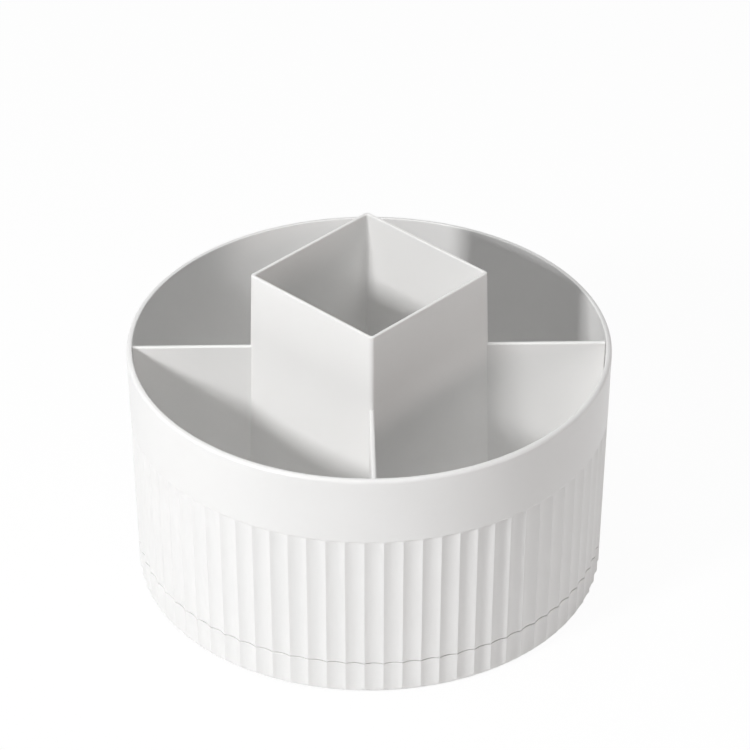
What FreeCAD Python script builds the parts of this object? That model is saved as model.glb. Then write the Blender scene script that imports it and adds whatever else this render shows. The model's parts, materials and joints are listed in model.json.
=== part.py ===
import FreeCAD, Part
import math
import os
import Sketcher
from FreeCAD import Vector

# Round organizer that turns on a low base.
# Millimetres, +Z up, -Y to the front, origin on the surface it stands on, under the spindle.

doc = FreeCAD.newDocument("RotatingOrganizer")

# Driving sizes: name, size and what it measures
driving_sizes = (
    ("rim_radius", 112.5, "drum, outside at the rim"),
    ("rim_height", 120.6, "top of the rim above the table"),
    ("skirt_radius", 110.0, "base, outside at its lower edge"),
    ("rim_wall", 2.6, "drum wall at the rim"),
    ("floor_wall", 2.8, "drum wall where it meets the floor"),
    ("rim_round", 0.8, "rounding of both rim edges"),
    ("floor_thickness", 2.4, "drum floor"),
    ("floor_round", 2.0, "rounding between drum floor and wall"),
    ("seam_level", 17.5, "lower edge of the drum above the table"),
    ("seam_gap", 0.5, "open seam between drum and base"),
    ("drum_rib_depth", 2.4, "ribs under the drum floor"),
    ("drum_rib_width", 1.6, "ribs under the drum floor"),
    ("drum_rib_count", 12, "ribs under the drum floor"),
    ("flute_top", 87.0, "where the flutes end under the plain band"),
    ("flute_depth", 1.1, "hollow of a flute below the plain surface"),
    ("flute_count", 80, "flutes round drum and base"),
    ("skirt_wall", 3.0, "base skirt between its inside and the plain surface"),
    ("deck_drop", 4.3, "upper face of the base deck below the seam"),
    ("deck_thickness", 2.4, "base deck"),
    ("lip_wall", 1.8, "lip of the base that stands behind the seam"),
    ("lip_rise", 2.2, "lip above the base's outer edge"),
    ("lip_clearance", 0.7, "between the lip and the drum"),
    ("base_rib_depth", 6.0, "ribs under the deck"),
    ("base_rib_width", 1.6, "ribs under the deck"),
    ("base_rib_count", 6, "radial ribs under the deck"),
    ("post_wall", 3.7, "centre post of the base, round the bush"),
    ("post_bottom", 7.2, "lower end of the centre post above the table"),
    ("foot_radius", 7.0, "rubber foot"),
    ("foot_thickness", 2.5, "rubber foot"),
    ("foot_proud", 1.0, "foot below the skirt"),
    ("foot_ease", 0.4, "bevel round the foot"),
    ("foot_fit", 0.15, "round the foot in its seat"),
    ("foot_inset", 15.0, "from the skirt's inside to the middle of a foot"),
    ("foot_count", 6, "rubber feet"),
    ("seat_wall", 1.6, "wall round a foot's seat"),
    ("seat_step", 1.6, "ledge that a foot is glued to"),
    ("ball_radius", 3.175, "quarter inch steel ball"),
    ("ball_count", 8, "balls in the cage"),
    ("race_radius", 60.0, "ball circle"),
    ("race_depth", 1.2, "depth of each race, to its flat bottom"),
    ("race_clearance", 0.08, "between ball and race"),
    ("cage_width", 11.0, "ring of the ball cage"),
    ("cage_thickness", 2.2, "ring of the ball cage"),
    ("pocket_clearance", 0.15, "between ball and pocket"),
    ("plate_margin", 12.0, "turntable plate beyond the ball circle"),
    ("plate_thickness", 3.0, "turntable plate"),
    ("hub_rib_gap", 3.1, "between the ribs round the stub and a screw head"),
    ("hub_rib_depth", 2.2, "ribs round the stub"),
    ("hub_rib_width", 1.6, "ribs round the stub"),
    ("hub_rib_count", 8, "ribs round the stub"),
    ("stub_radius", 6.0, "spindle stub of the plate"),
    ("running_fit", 0.05, "between stub and bush"),
    ("bush_wall", 1.2, "sleeve of the bush"),
    ("bush_seat_fit", 0.02, "between bush and post"),
    ("flange_reach", 2.2, "flange of the bush beyond its sleeve"),
    ("flange_thickness", 1.0, "flange of the bush"),
    ("flange_room", 0.7, "round the flange, clear of the ribs"),
    ("end_play", 0.15, "between bush flange and washer"),
    ("washer_thickness", 1.0, "thrust washer"),
    ("washer_hole_fit", 0.2, "between washer and screw"),
    ("spindle_screw_radius", 2.0, "shank of the spindle screw"),
    ("spindle_screw_grip", 8.0, "length in the stub"),
    ("spindle_head_radius", 4.2, "head of the spindle screw"),
    ("spindle_head_height", 2.6, "head of the spindle screw"),
    ("spare_depth", 1.0, "hole beyond the end of a screw"),
    ("thread_gap", 0.03, "round a screw in its hole"),
    ("screw_radius", 1.5, "shank of a case screw"),
    ("screw_grip", 5.5, "length in the insert's boss"),
    ("screw_inset", 14.5, "from the inner corner of the cup to a case screw"),
    ("screw_count", 4, "case screws"),
    ("screw_hole_fit", 0.2, "round a case screw in plate and floor"),
    ("head_radius", 2.9, "head of a case screw"),
    ("head_height", 2.0, "head of a case screw"),
    ("boss_radius", 4.2, "boss under the cup floor"),
    ("cup_top", 157.9, "top of the cup above the table"),
    ("cup_side_top", 77.5, "cup, side of the square at its top"),
    ("cup_side_foot", 82.2, "cup, side of the square at the drum floor"),
    ("cup_corner", 1.8, "rounding of the cup's upright edges"),
    ("cup_wall", 1.6, "cup wall at its top"),
    ("cup_foot_wall", 4.85, "between the cup's outside at the drum floor and its inside at the cup floor"),
    ("cup_bore_corner", 1.2, "rounding of the cup's inner upright edges"),
    ("cup_lip_round", 0.4, "rounding of the cup's upper edges"),
    ("cup_floor", 2.0, "thickness of the cup floor"),
    ("cup_floor_rise", 8.0, "cup floor above the drum floor"),
    ("divider_drop", 1.3, "top of the dividers below the rim"),
    ("divider_top", 2.2, "divider at its top"),
    ("divider_foot", 3.0, "divider at the drum floor"),
    ("divider_ease", 0.4, "bevel along the divider's top"),
    ("insert_fit", 0.2, "between divider ends and drum wall"),
    ("overrun", 2.0, "how far a cutting shape passes the part"),
)

sheet = doc.addObject("Spreadsheet::Sheet", "Sizes")
for row, (alias, size, meaning) in enumerate(driving_sizes, start=1):
    sheet.set(f"A{row}", alias)
    sheet.set(f"B{row}", str(size))
    sheet.set(f"C{row}", meaning)
    sheet.setAlias(f"B{row}", alias)
doc.recompute()

full_turn = 360
half_share = 0.5
closeness_share = 0.001
same_place = closeness_share * sheet.foot_proud


def number(expression):
    """The plain number that an expression gives with the sheet as it stands."""
    found = sheet.evalExpression(expression)
    return float(getattr(found, "Value", found))


def outer_radius(level):
    """Outside of drum and base at a height: one straight taper from the lower edge to the rim."""
    rise = "(Sizes.rim_height - Sizes.foot_proud)"
    spread = "(Sizes.rim_radius - Sizes.skirt_radius)"
    return f"(Sizes.rim_radius - (Sizes.rim_height - {level}) * {spread} / {rise})"


def inner_radius(level):
    """Inside of the drum's wall at a height above its floor."""
    foot = f"({outer_radius(floor_top)} - Sizes.floor_wall)"
    rim = "(Sizes.rim_radius - Sizes.rim_wall)"
    return f"({rim} - (Sizes.rim_height - {level}) * ({rim} - {foot}) / (Sizes.rim_height - {floor_top}))"


# Levels above the table, worked out from the sizes, from the base upwards
skirt_bottom = "Sizes.foot_proud"
base_edge = "(Sizes.seam_level - Sizes.seam_gap)"
deck_top = "(Sizes.seam_level - Sizes.deck_drop)"
deck_under = f"({deck_top} - Sizes.deck_thickness)"
lip_top = f"({base_edge} + Sizes.lip_rise)"
ball_seat = "(Sizes.ball_radius + Sizes.race_clearance - Sizes.race_depth)"
ball_level = f"({deck_top} + {ball_seat})"
plate_under = f"({ball_level} + {ball_seat})"
floor_under = f"({plate_under} + Sizes.plate_thickness)"
floor_top = f"({floor_under} + Sizes.floor_thickness)"
cup_floor_under = f"({floor_top} + Sizes.cup_floor_rise)"
cup_floor_top = f"({cup_floor_under} + Sizes.cup_floor)"
divider_level = "(Sizes.rim_height - Sizes.divider_drop)"
flange_under = "(Sizes.post_bottom - Sizes.flange_thickness)"
stub_end = f"({flange_under} - Sizes.end_play)"
washer_under = f"({stub_end} - Sizes.washer_thickness)"
overrun = "Sizes.overrun"

# Radii worked out from the sizes
lip_outside = f"({outer_radius('Sizes.seam_level')} - Sizes.floor_wall - Sizes.lip_clearance)"
lip_inside = f"({lip_outside} - Sizes.lip_wall)"
skirt_inside = f"({outer_radius(skirt_bottom)} - Sizes.skirt_wall)"
skirt_middle = f"({skirt_inside} + (Sizes.skirt_wall - Sizes.flute_depth) / 2)"
bush_inside = "(Sizes.stub_radius + Sizes.running_fit)"
bush_outside = f"({bush_inside} + Sizes.bush_wall)"
post_bore = f"({bush_outside} + Sizes.bush_seat_fit)"
post_radius = f"({post_bore} + Sizes.post_wall)"
flange_radius = f"({bush_outside} + Sizes.flange_reach)"
foot_circle = f"({skirt_inside} - Sizes.foot_inset)"
seat_radius = "(Sizes.foot_radius + Sizes.foot_fit)"
seat_core = f"({seat_radius} - Sizes.seat_step)"
seat_outside = f"({seat_radius} + Sizes.seat_wall)"
race_section = "(Sizes.ball_radius + Sizes.race_clearance)"
plate_radius = "(Sizes.race_radius + Sizes.plate_margin)"
cup_bore_foot = "(Sizes.cup_side_foot - 2 * Sizes.cup_foot_wall)"
screw_circle = f"({cup_bore_foot} / sqrt(2) - Sizes.screw_inset)"
hub_rib_reach = f"({screw_circle} - Sizes.head_radius - Sizes.hub_rib_gap)"


def sketch_on(body, name, role, level="0"):
    """A sketch on one of the body's own planes, or at a height above it."""
    sketch = body.newObject("Sketcher::SketchObject", name)
    plane = next(item for item in body.Origin.OriginFeatures if item.Role == role)
    sketch.AttachmentSupport = [(plane, "")]
    sketch.MapMode = "FlatFace"
    if level != "0":
        sketch.setExpression("AttachmentOffset.Base.z", level)
    return sketch


def hold(sketch, item, point, across, up):
    """Hold a point of a sketch at a place that two expressions give."""
    for kind, axis, place in (("DistanceX", -2, across), ("DistanceY", -1, up)):
        if place == "0":
            sketch.addConstraint(Sketcher.Constraint("PointOnObject", item, point, axis))
        else:
            found = sketch.addConstraint(Sketcher.Constraint(kind, item, point, number(place)))
            sketch.setExpression(f"Constraints[{found}]", place)


def outline(sketch, corners):
    """A closed run of straight lines through corners given as pairs of expressions."""
    places = [Vector(number(across), number(up), 0) for across, up in corners]
    lines = []
    for place, following in zip(places, places[1:] + places[:1]):
        lines.append(sketch.addGeometry(Part.LineSegment(place, following), False))
    for line, following in zip(lines, lines[1:] + lines[:1]):
        sketch.addConstraint(Sketcher.Constraint("Coincident", line, 2, following, 1))
    for line, (across, up) in zip(lines, corners):
        hold(sketch, line, 1, across, up)


def circle(sketch, radius, across="0", up="0"):
    """A circle whose centre and radius are expressions."""
    centre = Vector(number(across), number(up), 0)
    item = sketch.addGeometry(Part.Circle(centre, Vector(0, 0, 1), number(radius)), False)
    hold(sketch, item, 3, across, up)
    found = sketch.addConstraint(Sketcher.Constraint("Radius", item, number(radius)))
    sketch.setExpression(f"Constraints[{found}]", radius)


def turned(body, name, corners, kind="Revolution"):
    """A profile of radii and heights, turned about the upright axis: kind Groove takes it away."""
    sketch = sketch_on(body, name + "Profile", "XZ_Plane")
    outline(sketch, corners)
    made = body.newObject("PartDesign::" + kind, name)
    made.Profile = sketch
    made.ReferenceAxis = (sketch, ["V_Axis"])
    made.Angle = full_turn
    return made


def race(body, name, face, bottom):
    """A ball race from a face to its flat bottom, both flanks at 45 degrees, a clearance off the ball."""
    mouth = f"({race_section} * sqrt(2) - {ball_seat})"
    track = f"({race_section} * (sqrt(2) - 1))"
    turned(body, name, [
        (f"(Sizes.race_radius - {mouth})", face),
        (f"(Sizes.race_radius - {track})", bottom),
        (f"(Sizes.race_radius + {track})", bottom),
        (f"(Sizes.race_radius + {mouth})", face),
    ], kind="Groove")


def raised(body, name, sketch, length, kind="Pad", down=False, both_ways=False, taper=None):
    """A pad or pocket of a sketch, over a length that an expression gives."""
    made = body.newObject("PartDesign::" + kind, name)
    made.Profile = sketch
    made.Type = "Length"
    made.setExpression("Length", length)
    made.Reversed = down if kind == "Pad" else not down
    if both_ways:
        made.SideType = "Symmetric"
    if taper:
        made.setExpression("TaperAngle", taper)
    return made


def around(body, name, features, count):
    """Features repeated round the upright axis."""
    made = body.newObject("PartDesign::PolarPattern", name)
    made.Originals = features
    upright = next(item for item in body.Origin.OriginFeatures if item.Role == "Z_Axis")
    made.Axis = (upright, [""])
    made.Angle = full_turn
    made.setExpression("Occurrences", count)
    body.Tip = made
    return made


def rounded(body, name, radius, wanted):
    """A fillet of those edges of the body that the test picks."""
    doc.recompute()
    base = body.Tip
    picked = [f"Edge{place}" for place, edge in enumerate(base.Shape.Edges, start=1) if wanted(edge)]
    made = body.newObject("PartDesign::Fillet", name)
    made.Base = (base, picked)
    made.setExpression("Radius", radius)
    return made


def ring_at(edge, radius, level):
    """Whether an edge is a level circle of this radius at this height."""
    box = edge.BoundBox
    level_fits = abs(box.ZMin - number(level)) < same_place and abs(box.ZMax - number(level)) < same_place
    return level_fits and abs(box.XMax - number(radius)) < same_place


def rises(edge, low, high):
    """Whether an edge runs from one height up to another."""
    box = edge.BoundBox
    return abs(box.ZMin - number(low)) < same_place and abs(box.ZMax - number(high)) < same_place


def new_body(label, several=False):
    """An empty body: several allows solids that don't touch."""
    body = doc.addObject("PartDesign::Body", label)
    body.Label = label
    body.AllowCompound = several
    return body


def diamond(half_diagonal):
    """A square that stands on its corner, its corners on the two axes."""
    behind = f"(-{half_diagonal})"
    return [(half_diagonal, "0"), ("0", half_diagonal), (behind, "0"), ("0", behind)]


# Flutes

def scallops(level):
    """A closed line of hollow arcs at a height, its sharp edges on the plain taper."""
    count = int(number("Sizes.flute_count"))
    radius = number(outer_radius(level))
    hollow = radius - number("Sizes.flute_depth")
    pitch = 2 * math.pi / count
    height = number(level)

    def place(distance, turn):
        return Vector(distance * math.cos(turn), distance * math.sin(turn), height)

    arcs = []
    for index in range(count):
        middle = index * pitch
        start = middle - pitch * half_share
        end = middle + pitch * half_share
        arcs.append(Part.Arc(place(radius, start), place(hollow, middle), place(radius, end)).toShape())
    return Part.Wire(arcs)


def flute_cutter():
    """What the flutes take away: a ring outside a tapered form with a scalloped outline."""
    low = f"({skirt_bottom} - {overrun})"
    fluted = Part.makeLoft([scallops(low), scallops("Sizes.flute_top")], True, True)
    rise = number("Sizes.flute_top") - number(low)
    reach = number(f"max(Sizes.rim_radius; Sizes.skirt_radius) + {overrun}")
    block = Part.makeCylinder(reach, rise, Vector(0, 0, number(low)))
    made = doc.addObject("Part::Feature", "FluteCutter")
    made.Shape = block.cut(fluted)
    return made


def fluted_part(label, blank, cutter):
    """A turned blank with the flutes cut into its outside."""
    made = doc.addObject("Part::Cut", label)
    made.Label = label
    made.Base = blank
    made.Tool = cutter
    made.Refine = False
    return made


# Base

def base_blank():
    """The standing base before its flutes: skirt, deck, lip, post, ribs and foot seats."""
    body = new_body("base_blank")
    turned(body, "BaseTurned", [
        (outer_radius(skirt_bottom), skirt_bottom),
        (outer_radius(base_edge), base_edge),
        (lip_outside, base_edge),
        (lip_outside, lip_top),
        (lip_inside, lip_top),
        (lip_inside, deck_top),
        (post_bore, deck_top),
        (post_bore, "Sizes.post_bottom"),
        (post_radius, "Sizes.post_bottom"),
        (post_radius, deck_under),
        (skirt_inside, deck_under),
        (skirt_inside, skirt_bottom),
    ])
    race(body, "LowerRace", deck_top, f"({deck_top} - Sizes.race_depth)")
    rib_start = f"(({post_radius} + {post_bore}) / 2)"
    rib = sketch_on(body, "DeckRibOutline", "XY_Plane", deck_under)
    strip(rib, rib_start, skirt_middle, "Sizes.base_rib_width")
    ribs = raised(body, "DeckRib", rib, "Sizes.base_rib_depth", down=True)
    around(body, "DeckRibs", [ribs], "Sizes.base_rib_count")
    room = f"({flange_radius} + Sizes.flange_room)"
    rib_foot = f"({deck_under} - Sizes.base_rib_depth - {overrun})"
    turned(body, "FlangeRoom", [
        ("0", rib_foot),
        (room, rib_foot),
        (room, "Sizes.post_bottom"),
        ("0", "Sizes.post_bottom"),
    ], kind="Groove")
    foot_seats(body)
    return body


def strip(sketch, start, end, width):
    """A straight strip along the X axis."""
    side = f"({width} / 2)"
    outline(sketch, [(start, f"(-{side})"), (end, f"(-{side})"), (end, side), (start, side)])


def foot_seats(body):
    """Round posts under the deck, each hollow, with a stepped seat for a foot at its end."""
    wall = sketch_on(body, "SeatOutline", "XY_Plane", skirt_bottom)
    circle(wall, seat_outside, foot_circle)
    post = raised(body, "SeatPost", wall, f"({deck_under} - {skirt_bottom})")
    around(body, "SeatPosts", [post], "Sizes.foot_count")
    core = sketch_on(body, "SeatCoreOutline", "XY_Plane", skirt_bottom)
    circle(core, seat_core, foot_circle)
    hollow = raised(body, "SeatCore", core, f"({deck_under} - {skirt_bottom})", kind="Pocket")
    around(body, "SeatCores", [hollow], "Sizes.foot_count")
    seat = sketch_on(body, "SeatRecessOutline", "XY_Plane", skirt_bottom)
    circle(seat, seat_radius, foot_circle)
    recess = raised(body, "SeatRecess", seat, "(Sizes.foot_thickness - Sizes.foot_proud)", kind="Pocket")
    around(body, "SeatRecesses", [recess], "Sizes.foot_count")


def feet():
    """Rubber feet, one in each seat, from the table up."""
    for index in range(int(number("Sizes.foot_count"))):
        body = new_body(f"foot_{index + 1}")
        turned(body, f"Foot{index + 1}Turned", [
            ("0", "0"),
            ("(Sizes.foot_radius - Sizes.foot_ease)", "0"),
            ("Sizes.foot_radius", "Sizes.foot_ease"),
            ("Sizes.foot_radius", "Sizes.foot_thickness"),
            ("0", "Sizes.foot_thickness"),
        ])
        turn = f"({full_turn} * {index} / Sizes.foot_count)"
        body.setExpression("Placement.Base.x", f"{foot_circle} * cos{turn}")
        body.setExpression("Placement.Base.y", f"{foot_circle} * sin{turn}")


def spindle_bush():
    """Flanged sleeve pressed into the post from below."""
    turned(new_body("spindle_bush"), "BushTurned", [
        (bush_inside, flange_under),
        (flange_radius, flange_under),
        (flange_radius, "Sizes.post_bottom"),
        (bush_outside, "Sizes.post_bottom"),
        (bush_outside, deck_top),
        (bush_inside, deck_top),
    ])


# Ball bearing

def ball_cage():
    """Flat ring with a pocket for each ball, half way between the races."""
    body = new_body("ball_cage")
    ring = sketch_on(body, "CageOutline", "XY_Plane", f"({ball_level} - Sizes.cage_thickness / 2)")
    circle(ring, "(Sizes.race_radius + Sizes.cage_width / 2)")
    circle(ring, "(Sizes.race_radius - Sizes.cage_width / 2)")
    raised(body, "CageRing", ring, "Sizes.cage_thickness")
    opening = sketch_on(body, "PocketOutline", "XY_Plane", f"({ball_level} - Sizes.cage_thickness / 2)")
    circle(opening, "(Sizes.ball_radius + Sizes.pocket_clearance)", "Sizes.race_radius")
    pocket = raised(body, "BallPocket", opening, "Sizes.cage_thickness", kind="Pocket")
    around(body, "BallPockets", [pocket], "Sizes.ball_count")


def bearing_balls():
    """Steel balls, spaced evenly in the cage."""
    balls = []
    count = int(number("Sizes.ball_count"))
    for index in range(count):
        ball = doc.addObject("Part::Sphere", f"Ball{index + 1}")
        ball.setExpression("Radius", "Sizes.ball_radius")
        turn = f"({full_turn} * {index} / Sizes.ball_count)"
        ball.setExpression("Placement.Base.x", f"Sizes.race_radius * cos{turn}")
        ball.setExpression("Placement.Base.y", f"Sizes.race_radius * sin{turn}")
        ball.setExpression("Placement.Base.z", ball_level)
        balls.append(ball)
    group = doc.addObject("Part::Compound", "bearing_balls")
    group.Label = "bearing_balls"
    group.Links = balls


# Drum

def drum_blank():
    """The drum before its flutes: wall, floor and the ribs under it."""
    body = new_body("drum_blank")
    skirt_inner = f"({outer_radius('Sizes.seam_level')} - Sizes.floor_wall)"
    turned(body, "DrumTurned", [
        ("0", floor_under),
        (skirt_inner, floor_under),
        (skirt_inner, "Sizes.seam_level"),
        (outer_radius("Sizes.seam_level"), "Sizes.seam_level"),
        ("Sizes.rim_radius", "Sizes.rim_height"),
        (inner_radius("Sizes.rim_height"), "Sizes.rim_height"),
        (inner_radius(floor_top), floor_top),
        ("0", floor_top),
    ])
    rounded(body, "RimRounding", "Sizes.rim_round", lambda edge:
            ring_at(edge, "Sizes.rim_radius", "Sizes.rim_height")
            or ring_at(edge, inner_radius("Sizes.rim_height"), "Sizes.rim_height"))
    rounded(body, "FloorRounding", "Sizes.floor_round", lambda edge:
            ring_at(edge, inner_radius(floor_top), floor_top))
    rib = sketch_on(body, "FloorRibOutline", "XY_Plane", floor_under)
    rib_start = f"({plate_radius} + Sizes.floor_wall)"
    strip(rib, rib_start, f"({lip_inside} - Sizes.lip_clearance)", "Sizes.drum_rib_width")
    ribs = raised(body, "FloorRib", rib, "Sizes.drum_rib_depth", down=True)
    around(body, "FloorRibs", [ribs], "Sizes.drum_rib_count")
    screw_holes(body, floor_under, "Sizes.floor_thickness")
    return body


def screw_holes(body, level, depth):
    """Clearance holes for the case screws, upwards from a level."""
    hole = sketch_on(body, "ScrewHoleOutline", "XY_Plane", level)
    circle(hole, "(Sizes.screw_radius + Sizes.screw_hole_fit)", screw_circle)
    pocket = raised(body, "ScrewHole", hole, depth, kind="Pocket")
    around(body, "ScrewHoles", [pocket], "Sizes.screw_count")


def turntable_plate():
    """Disc under the drum with the upper race, the spindle stub and ribs between them."""
    body = new_body("turntable_plate")
    pilot = "(Sizes.spindle_screw_radius + Sizes.thread_gap)"
    pilot_end = f"({stub_end} + Sizes.spindle_screw_grip + Sizes.spare_depth)"
    turned(body, "PlateTurned", [
        ("0", floor_under),
        ("0", pilot_end),
        (pilot, pilot_end),
        (pilot, stub_end),
        ("Sizes.stub_radius", stub_end),
        ("Sizes.stub_radius", plate_under),
        (plate_radius, plate_under),
        (plate_radius, floor_under),
    ])
    race(body, "UpperRace", plate_under, f"({plate_under} + Sizes.race_depth)")
    rib = sketch_on(body, "HubRibOutline", "XY_Plane", plate_under)
    rib_start = f"((Sizes.stub_radius + {pilot}) / 2)"
    strip(rib, rib_start, hub_rib_reach, "Sizes.hub_rib_width")
    ribs = raised(body, "HubRib", rib, "Sizes.hub_rib_depth", down=True)
    around(body, "HubRibs", [ribs], "Sizes.hub_rib_count")
    screw_holes(body, plate_under, "Sizes.plate_thickness")


def cup_and_dividers():
    """Square cup on its corner with four dividers, one moulding that stands on the drum floor."""
    body = new_body("cup_and_dividers")
    height = f"(Sizes.cup_top - {floor_top})"
    foot = sketch_on(body, "CupFootOutline", "XY_Plane", floor_top)
    outline(foot, diamond("(Sizes.cup_side_foot / sqrt(2))"))
    lean = f"(-atan((Sizes.cup_side_foot - Sizes.cup_side_top) / 2 / {height}))"
    raised(body, "CupBlock", foot, height, taper=lean)
    rounded(body, "CupCorners", "Sizes.cup_corner", lambda edge: rises(edge, floor_top, "Sizes.cup_top"))
    for plane, name in (("YZ_Plane", "SideDividers"), ("XZ_Plane", "FrontBackDividers")):
        divider(body, plane, name)
    trim_to_drum(body)
    cup_bore(body)
    cup_underside(body)


def divider(body, plane, name):
    """A wall across the whole drum, thinner at its top, with bevelled upper edges."""
    section = sketch_on(body, name + "Section", plane)
    foot = "(Sizes.divider_foot / 2)"
    top = "(Sizes.divider_top / 2)"
    ease = "Sizes.divider_ease"
    outline(section, [
        (f"(-{foot})", floor_top),
        (foot, floor_top),
        (top, f"({divider_level} - {ease})"),
        (f"({top} - {ease})", divider_level),
        (f"(-({top} - {ease}))", divider_level),
        (f"(-{top})", f"({divider_level} - {ease})"),
    ])
    raised(body, name, section, "(2 * Sizes.rim_radius)", both_ways=True)


def trim_to_drum(body):
    """Cut the divider ends to the inside of the drum, with a fit all round."""
    rim = f"({inner_radius('Sizes.rim_height')} - Sizes.insert_fit)"
    foot = f"({inner_radius(floor_top)} - Sizes.insert_fit)"
    turned(body, "DividerEnds", [
        (f"({foot} - Sizes.floor_round)", f"({floor_top} - {overrun})"),
        (f"({foot} - Sizes.floor_round)", floor_top),
        (foot, f"({floor_top} + Sizes.floor_round)"),
        (rim, "Sizes.rim_height"),
        (rim, f"(Sizes.rim_height + {overrun})"),
        (f"(Sizes.rim_radius + {overrun})", f"(Sizes.rim_height + {overrun})"),
        (f"(Sizes.rim_radius + {overrun})", f"({floor_top} - {overrun})"),
    ], kind="Groove")


def cup_bore(body):
    """The cup's inside, a little narrower at its floor, and its rounded edges."""
    bore_top = "(Sizes.cup_side_top - 2 * Sizes.cup_wall)"
    depth = f"(Sizes.cup_top - {cup_floor_top})"
    mouth = sketch_on(body, "CupMouthOutline", "XY_Plane", "Sizes.cup_top")
    outline(mouth, diamond(f"({bore_top} / sqrt(2))"))
    lean = f"(-atan(({bore_top} - {cup_bore_foot}) / 2 / {depth}))"
    raised(body, "CupBore", mouth, depth, kind="Pocket", down=True, taper=lean)
    rounded(body, "CupBoreCorners", "Sizes.cup_bore_corner",
            lambda edge: rises(edge, cup_floor_top, "Sizes.cup_top"))
    rounded(body, "CupLipRounding", "Sizes.cup_lip_round",
            lambda edge: rises(edge, "Sizes.cup_top", "Sizes.cup_top"))


def cup_underside(body):
    """The hollow under the cup floor, with a drilled boss in each corner for a case screw."""
    hollow = sketch_on(body, "CupHollowOutline", "XY_Plane", floor_top)
    outline(hollow, diamond(f"({cup_bore_foot} / sqrt(2))"))
    raised(body, "CupHollow", hollow, "Sizes.cup_floor_rise", kind="Pocket")
    boss = sketch_on(body, "BossOutline", "XY_Plane", floor_top)
    circle(boss, "Sizes.boss_radius", screw_circle)
    post = raised(body, "Boss", boss, "Sizes.cup_floor_rise")
    around(body, "Bosses", [post], "Sizes.screw_count")
    pilot = sketch_on(body, "PilotOutline", "XY_Plane", floor_top)
    circle(pilot, "(Sizes.screw_radius + Sizes.thread_gap)", screw_circle)
    drilled = raised(body, "Pilot", pilot, "(Sizes.screw_grip + Sizes.spare_depth)", kind="Pocket")
    around(body, "Pilots", [drilled], "Sizes.screw_count")


# Fasteners

def case_screws():
    """Screws from below through plate and floor into the bosses under the cup."""
    body = new_body("case_screws", several=True)
    head = sketch_on(body, "HeadOutline", "XY_Plane", plate_under)
    circle(head, "Sizes.head_radius", screw_circle)
    heads = raised(body, "ScrewHead", head, "Sizes.head_height", down=True)
    shank = sketch_on(body, "ShankOutline", "XY_Plane", plate_under)
    circle(shank, "Sizes.screw_radius", screw_circle)
    reach = "(Sizes.plate_thickness + Sizes.floor_thickness + Sizes.screw_grip)"
    shanks = raised(body, "ScrewShank", shank, reach)
    around(body, "Screws", [heads, shanks], "Sizes.screw_count")


def spindle_screw():
    """Screw in the end of the stub that keeps drum and base together."""
    head_under = f"({washer_under} - Sizes.spindle_head_height)"
    turned(new_body("spindle_screw"), "SpindleScrewTurned", [
        ("0", head_under),
        ("Sizes.spindle_head_radius", head_under),
        ("Sizes.spindle_head_radius", washer_under),
        ("Sizes.spindle_screw_radius", washer_under),
        ("Sizes.spindle_screw_radius", f"({stub_end} + Sizes.spindle_screw_grip)"),
        ("0", f"({stub_end} + Sizes.spindle_screw_grip)"),
    ])


def thrust_washer():
    """Washer between the screw's head and the stub: the bush flange rests over it."""
    hole = "(Sizes.spindle_screw_radius + Sizes.washer_hole_fit)"
    turned(new_body("thrust_washer"), "WasherTurned", [
        (hole, washer_under),
        (flange_radius, washer_under),
        (flange_radius, stub_end),
        (hole, stub_end),
    ])


cutter = flute_cutter()
fluted_part("base_shell", base_blank(), cutter)
feet()
spindle_bush()
ball_cage()
bearing_balls()
fluted_part("drum_shell", drum_blank(), cutter)
turntable_plate()
cup_and_dividers()
case_screws()
spindle_screw()
thrust_washer()
doc.recompute()

node_names = ["base_shell"]
node_names += [f"foot_{index + 1}" for index in range(int(number("Sizes.foot_count")))]
node_names += ["spindle_bush", "ball_cage", "bearing_balls", "drum_shell", "turntable_plate"]
node_names += ["cup_and_dividers", "case_screws", "spindle_screw", "thrust_washer"]

# Nothing is written unless every step worked, every cut took something away and every shape is sound
for item in doc.Objects:
    if "Invalid" in item.State or "Error" in item.State:
        raise RuntimeError(f"{item.Label} could not be made: {item.State}")
    if item.TypeId in ("PartDesign::Pocket", "PartDesign::Groove"):
        if item.Shape.Volume >= item.BaseFeature.Shape.Volume:
            raise RuntimeError(f"{item.Label} cuts nothing")

os.makedirs("parts", exist_ok=True)
for name in node_names:
    shape = doc.getObjectsByLabel(name)[0].Shape
    if shape.isNull() or not shape.isValid():
        raise RuntimeError(f"{name} has no sound shape")
    print(name, "solids", len(shape.Solids), "volume", round(shape.Volume, 1))
for name in node_names:
    doc.getObjectsByLabel(name)[0].Shape.exportStep(f"parts/{name}.step")
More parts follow.
